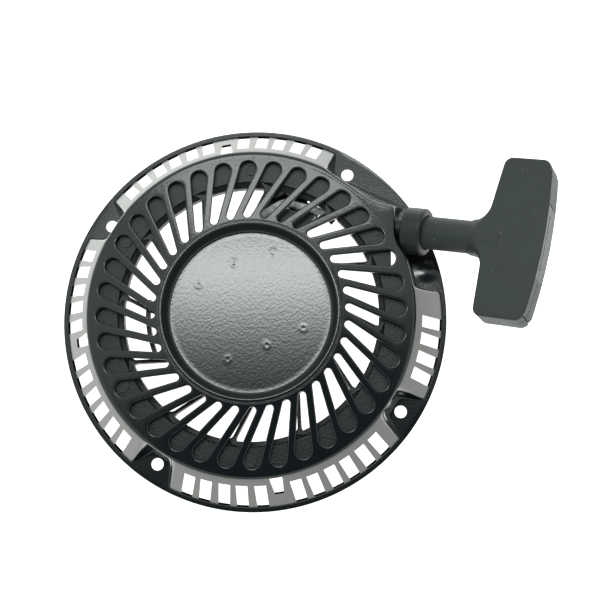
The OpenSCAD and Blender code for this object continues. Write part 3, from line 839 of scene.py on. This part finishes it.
def surface_net(shape, low, high, step):
    """Quad mesh of the surface where shape(points) is 0; shape is negative inside."""
    axes = [np.arange(a, b + step, step) for a, b in zip(low, high)]
    grid = np.stack(np.meshgrid(*axes, indexing="ij"), -1)
    value = shape(grid.reshape(-1, 3)).reshape(grid.shape[:3])
    inside = value < 0
    size = tuple(n - 1 for n in value.shape)

    def corner(array, c):
        return array[c[0]:c[0] + size[0], c[1]:c[1] + size[1], c[2]:c[2] + size[2]]

    total = np.zeros(size + (3,))
    hits = np.zeros(size)
    for a, b in EDGES:
        va, vb = corner(value, a), corner(value, b)
        crossed = (va < 0) != (vb < 0)
        t = np.where(crossed, va / np.where(crossed, va - vb, 1), 0)
        for axis in range(3):
            total[..., axis] += np.where(crossed, a[axis] + (b[axis] - a[axis]) * t, 0)
        hits += crossed
    active = hits > 0
    index = np.full(size, -1)
    index[active] = np.arange(active.sum())
    cell = np.argwhere(active)
    points = np.asarray(low) + (cell + total[active] / hits[active][:, None]) * step
    faces = []
    for axis in range(3):
        u, v = (axis + 1) % 3, (axis + 2) % 3
        first = [slice(None)] * 3
        second = [slice(None)] * 3
        first[axis], second[axis] = slice(0, -1), slice(1, None)
        a, b = inside[tuple(first)], inside[tuple(second)]
        for flip, mask in ((False, a & ~b), (True, ~a & b)):
            at = np.argwhere(mask)
            keep = (at[:, u] > 0) & (at[:, v] > 0) & (at[:, u] < size[u]) & (at[:, v] < size[v])
            at = at[keep]
            corners = []
            for du, dv in ((1, 1), (0, 1), (0, 0), (1, 0)):
                q = at.copy()
                q[:, u] -= du
                q[:, v] -= dv
                corners.append(index[q[:, 0], q[:, 1], q[:, 2]])
            quad = np.stack(corners, 1)
            faces.append(quad[:, ::-1] if flip else quad)
    delta = 0.02
    for _ in range(3):
        base = shape(points)
        slope = np.stack([(shape(points + np.eye(3)[k] * delta) - base) / delta for k in range(3)], -1)
        scale = np.maximum((slope ** 2).sum(1), 0.25)
        move = -slope * (base / scale)[:, None]
        reach = np.linalg.norm(move, axis=1)
        points = points + move * np.minimum(1, step * 0.4 / np.maximum(reach, 1e-9))[:, None]
    return points, np.concatenate(faces).tolist()


def soft_min(a, b, k):
    h = np.clip(0.5 + 0.5 * (b - a) / k, 0, 1)
    return b + (a - b) * h - k * h * (1 - h)


def polygon_distance(points, outline):
    """Signed distance in the plane, negative inside."""
    best = np.full(len(points), 1e9)
    inside = np.zeros(len(points), bool)
    for p, q in zip(outline, np.roll(outline, -1, 0)):
        way = q - p
        t = np.clip(((points - p) @ way) / (way @ way), 0, 1)
        best = np.minimum(best, ((points - p - t[:, None] * way) ** 2).sum(1))
        if p[1] != q[1]:
            over = (p[1] > points[:, 1]) != (q[1] > points[:, 1])
            inside ^= over & (points[:, 0] < (q[0] - p[0]) * (points[:, 1] - p[1]) / (q[1] - p[1]) + p[0])
    best = np.sqrt(best)
    return np.where(inside, -best, best)


# ---------------------------------------------------------------- handle

# Where the stem rests on the rope guide, and the handle's tilt, yaw and roll in degrees
SEAT = np.array((91.3, 41.5, 18.5))
PULL_TILT, PULL_YAW, GRIP_ROLL = 21.4, -11.6, -3.0
STEM_R = 8.5
# Shape of the grip, in the handle's own axes
GRIP_NEAR, GRIP_FAR, GRIP_BOW, GRIP_HALF, GRIP_T = 33.3, 59.8, 3.1, 41.75, 8.65
GRIP_SKEW, GRIP_FLARE, NECK, CORNER = 0.75, 1.5, 8.5, 4.5


def handle_turn(roll=True):
    """Rotation from the handle's own axes to the frame."""
    turn = Matrix.Rotation(math.radians(PULL_YAW), 3, "Z")
    turn = turn @ Matrix.Rotation(math.radians(-PULL_TILT), 3, "Y")
    if roll:
        turn = turn @ Matrix.Rotation(math.radians(GRIP_ROLL), 3, "X")
    return np.array(turn)


PULL = handle_turn()[:, 0]


def to_frame(points):
    """Points from the handle's own axes to the frame's."""
    return SEAT + np.asarray(points) @ handle_turn().T


def bow_x(y):
    """Place of the outer face of the grip."""
    return GRIP_FAR + GRIP_BOW * (1 - (np.asarray(y) / GRIP_HALF) ** 2)


def grip_outline():
    """The grip and the root of its stem in plan."""
    near = GRIP_NEAR + GRIP_FLARE + CORNER
    y = np.linspace(0.88, -0.88, 33) * GRIP_HALF
    outer = np.column_stack((bow_x(y), y))
    return np.concatenate((
        (near + GRIP_SKEW, GRIP_HALF - CORNER) + polar(CORNER, np.linspace(172, 90, 8)),
        (GRIP_FAR - CORNER, GRIP_HALF - CORNER) + polar(CORNER, np.linspace(90, 8, 8)),
        outer,
        (GRIP_FAR - CORNER, CORNER - GRIP_HALF) + polar(CORNER, np.linspace(-8, -90, 8)),
        (near - GRIP_SKEW, CORNER - GRIP_HALF) + polar(CORNER, np.linspace(270, 188, 8)),
        (GRIP_NEAR - NECK, -STEM_R - NECK) + polar(NECK, np.linspace(0, 90, 10)),
        (GRIP_NEAR - NECK, STEM_R + NECK) + polar(NECK, np.linspace(270, 360, 10))))


def grip_shape(points):
    """Grip and neck in the handle's own axes."""
    x, y, z = points.T
    flat = polygon_distance(points[:, :2], grip_outline())
    edge = 8.3 - 7.2 * smooth_step(x, 22, 36)
    qx, qz = flat + edge, np.abs(z) - (GRIP_T - edge)
    grip = np.hypot(np.maximum(qx, 0), np.maximum(qz, 0)) + np.minimum(np.maximum(qx, qz), 0) - edge
    tube = np.maximum(np.hypot(y, z) - STEM_R, np.maximum(-2.2 - x, x - 40))
    body = soft_min(grip, tube, 2.6)
    body = np.maximum(body, 2.9 - np.hypot(y, z) - 100 * (x > 50))
    lid = np.maximum(np.abs(y) - 19.2, np.maximum(np.abs(z) - 7.6, bow_x(y) - 2.6 - x))
    body = np.maximum(body, -lid)
    shallow = np.maximum(-0.9 - flat, 52 - x)
    body = np.maximum(body, -np.maximum(np.abs(y + 38.6) - 0.32, shallow))
    body = np.maximum(body, -np.maximum(np.maximum(np.abs(z - 1.5) - 0.16, 0.3 + shallow), y + 20.5))
    return body


def cap_shape(points):
    """Inset cap in the grip's outer face, with a shallow slot along it."""
    x, y, z = points.T
    depth = x - bow_x(y)
    slab = np.maximum(np.maximum(np.abs(y) - 19.0, np.abs(z) - 7.45), np.maximum(depth + 0.12, -2.5 - depth))
    slot = np.maximum(np.maximum(np.abs(y) - 14.0, np.abs(z - 3.4) - 0.3), -0.9 - depth)
    hooks = np.maximum(np.maximum(np.abs(np.abs(y) - 13.7) - 0.3, np.abs(z - 2.6) - 1.0), -0.9 - depth)
    return np.maximum(slab, -np.minimum(slot, hooks))


def make_handle(grip_paint, cap_paint):
    """The T handle with its inset cap."""
    step = 0.36
    points, faces = surface_net(grip_shape, (-3.4, -43.5, -10), (65, 43.5, 10), step)
    grip = new_piece("handle_body", to_frame(points), faces, grip_paint, 50)
    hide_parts("handle_grip")
    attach(grip, "handle")
    points, faces = surface_net(cap_shape, (55, -24, -8.5), (65, 24, 8.5), 0.3)
    cap = new_piece("handle_inset", to_frame(points), faces, cap_paint, 50)
    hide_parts("handle_cap")
    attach(cap, "handle")


# ---------------------------------------------------------------- rope guide

COLLAR_R, COLLAR_L, BORE_R = 12.3, 11.0, 3.6


def collar_shape(points):
    """Collar that the handle seats on, flush with the housing's wall, with its neck through the wall."""
    local = (points - SEAT) @ handle_turn(False)
    along, across = local[:, 0], np.hypot(local[:, 1], local[:, 2])
    edge = 2.0 - 1.2 * smooth_step(-along, 3, 8)
    qx, qy = np.maximum(along, -COLLAR_L - along) + edge, across - (COLLAR_R - edge)
    body = np.hypot(np.maximum(qx, 0), np.maximum(qy, 0)) + np.minimum(np.maximum(qx, qy), 0) - edge
    body = np.maximum(body, WALL_X + 0.6 - points[:, 0])
    body = np.maximum(body, 1.6 - points[:, 2])
    neck_r = np.hypot(points[:, 1] - EXIT_AT[1], points[:, 2] - EXIT_AT[2])
    neck_x = points[:, 0] - WALL_X
    neck = np.maximum(neck_r - 6.05, np.maximum(-3.3 - neck_x, neck_x - 9.4))
    ring = np.maximum(neck_r - 7.3, np.maximum(-3.3 - neck_x, neck_x + 1.7))
    body = np.minimum(np.minimum(body, neck), ring)
    seat = np.maximum(across - (STEM_R + 0.45), -2.6 - along)
    bore = np.maximum(across - BORE_R, -14 - along)
    hole = np.maximum(neck_r - BORE_R, np.maximum(-6 - neck_x, neck_x - 7))
    return np.maximum(np.maximum(body, -seat), np.maximum(-bore, -hole))


def make_guide(material):
    """The rope guide, in one piece."""
    points, faces = surface_net(collar_shape, (70, 28, 0.6), (97.5, 59, 31), 0.4)
    guide = new_piece("rope_collar", points, faces, material, 45)
    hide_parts("rope_guide")
    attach(guide, "frame")


# ---------------------------------------------------------------- rope

ROPE_R = 2.1
LEAD_Z = 16.4
LEAD_START = polar(41.8, 121.3)
# The rope's way from the reel to the housing's wall, then along the handle's axis
ROUTE = [(*LEAD_START, LEAD_Z), (-13.2, 40.9, LEAD_Z), (-4, 46.5, LEAD_Z - 0.4), (5, 52, LEAD_Z - 0.9),
         (11.5, 56.1, LEAD_Z - 1.2), (15, 58.1, LEAD_Z - 1.4), (18.8, 58.9, LEAD_Z - 1.6),
         (24, 57.4, LEAD_Z - 1.8), (36, 54.2, LEAD_Z - 2.3), (50, 50.6, LEAD_Z - 2.9),
         (63, 47.3, LEAD_Z - 3.5), (70, 45.6, 12.6), (75.6, 44.7, 12.5)]
ROUTE += [tuple(SEAT + s * PULL) for s in (-9.5, 2, 20, 41)]


def smooth_route(points, spacing):
    """Catmull-Rom line through the route, evenly spaced."""
    p = np.array(points, float)
    p = np.concatenate(([2 * p[0] - p[1]], p, [2 * p[-1] - p[-2]]))
    line = []
    for a, b, c, d in zip(p, p[1:], p[2:], p[3:]):
        t = np.linspace(0, 1, 16, endpoint=False)[:, None]
        line.append(0.5 * (2 * b + (c - a) * t + (2 * a - 5 * b + 4 * c - d) * t ** 2
                           + (3 * b - a - 3 * c + d) * t ** 3))
    line = np.concatenate(line + [p[-2:-1]])
    length = np.linalg.norm(np.diff(line, axis=0), axis=1).sum()
    return resample(line, int(length / spacing) + 1)


def sweep(line, section):
    """Rings of a closed section swept along a line; section(distance) gives offsets (side, up)."""
    way = np.gradient(line, axis=0)
    way /= np.linalg.norm(way, axis=1)[:, None]
    side = np.cross((0, 0, 1), way)
    side /= np.linalg.norm(side, axis=1)[:, None]
    up = np.cross(way, side)
    along = np.concatenate(([0], np.cumsum(np.linalg.norm(np.diff(line, axis=0), axis=1))))
    rings = []
    for i, point in enumerate(line):
        offsets = section(along[i])
        rings.append(point + offsets[:, :1] * side[i] + offsets[:, 1:] * up[i])
    return np.array(rings)


STRANDS, BRAID_PITCH, STRAND_SIDES = 8, 11.0, 7


def braid(line, radius):
    """Strands of a round braid along a line: half turn one way and half the other, over and under."""
    strand_r = radius * 0.34
    ring = polar(1.0, np.arange(STRAND_SIDES) * 360 / STRAND_SIDES)
    verts, faces = [], []
    for way in (1, -1):
        for s in range(STRANDS):
            def section(at, way=way, s=s):
                angle = way * 360 * at / BRAID_PITCH + 360 * s / STRANDS
                weave = math.cos(math.radians(angle * STRANDS / 2 + (0 if way > 0 else 180)))
                centre = polar(radius - strand_r * (0.75 - 0.25 * weave), angle)
                out, round_way = polar(1.0, angle), polar(1.0, angle + 90)
                flat = ring[:, :1] * out * strand_r * 0.62 + ring[:, 1:] * round_way * strand_r * 1.25
                return centre + flat
            rings = sweep(line, section)
            base = sum(len(v) for v in verts)
            verts.append(rings.reshape(-1, 3))
            faces += net(rings.shape[:2], base)
            faces.append(tuple(base + i for i in reversed(range(STRAND_SIDES))))
            end = base + (len(rings) - 1) * STRAND_SIDES
            faces.append(tuple(end + i for i in range(STRAND_SIDES)))
    return np.concatenate(verts), faces


def make_rope(material):
    """The rope from the reel to the handle."""
    line = smooth_route(ROUTE, 0.55)
    verts, faces = braid(line, ROPE_R)
    rope = new_piece("pull_rope", verts, faces, material, 60)
    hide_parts("rope_lead")
    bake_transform(rope)


# ---------------------------------------------------------------- everything together

def paint_nodes(paints):
    """Gives each CAD node that still shows its finish."""
    slots = {entry["node"]: entry["material_slot"] for entry in frame["record"]["subparts"]}
    for name, node in NODES.items():
        node.data.materials.clear()
        node.data.materials.append(paints[slots[name]])


def main():
    """Builds the whole scene."""
    make_camera()
    make_stage()
    paints = {
        "black_enamel": black_enamel(),
        "guard_plastic": moulded("guard_plastic", (0.005, 0.007, 0.008), (0.013, 0.016, 0.017),
                                 (0.33, 0.46), 1000, 0.0003),
        "guide_plastic": moulded("guide_plastic", (0.005, 0.007, 0.008), (0.010, 0.013, 0.013),
                                 (0.42, 0.52), 1800),
        "reel_plastic": moulded("reel_plastic", (0.020, 0.020, 0.022), (0.032, 0.032, 0.034), (0.35, 0.5)),
        "grip_plastic": grip_plastic(),
        "cap_plastic": moulded("cap_plastic", (0.036, 0.045, 0.046), (0.046, 0.057, 0.057),
                               (0.42, 0.55), 1700),
        "zinc_steel": metal("zinc_steel", (0.50, 0.51, 0.53), (0.66, 0.67, 0.68)),
        "spring_steel": metal("spring_steel", (0.20, 0.22, 0.26), (0.34, 0.35, 0.38), (0.22, 0.36)),
        "rope_braid": rope_braid(),
    }
    make_rope(paints["rope_braid"])
    paint_nodes(paints)
    make_housing(paints["black_enamel"])
    make_handle(paints["grip_plastic"], paints["cap_plastic"])
    make_guide(paints["guide_plastic"])


main()
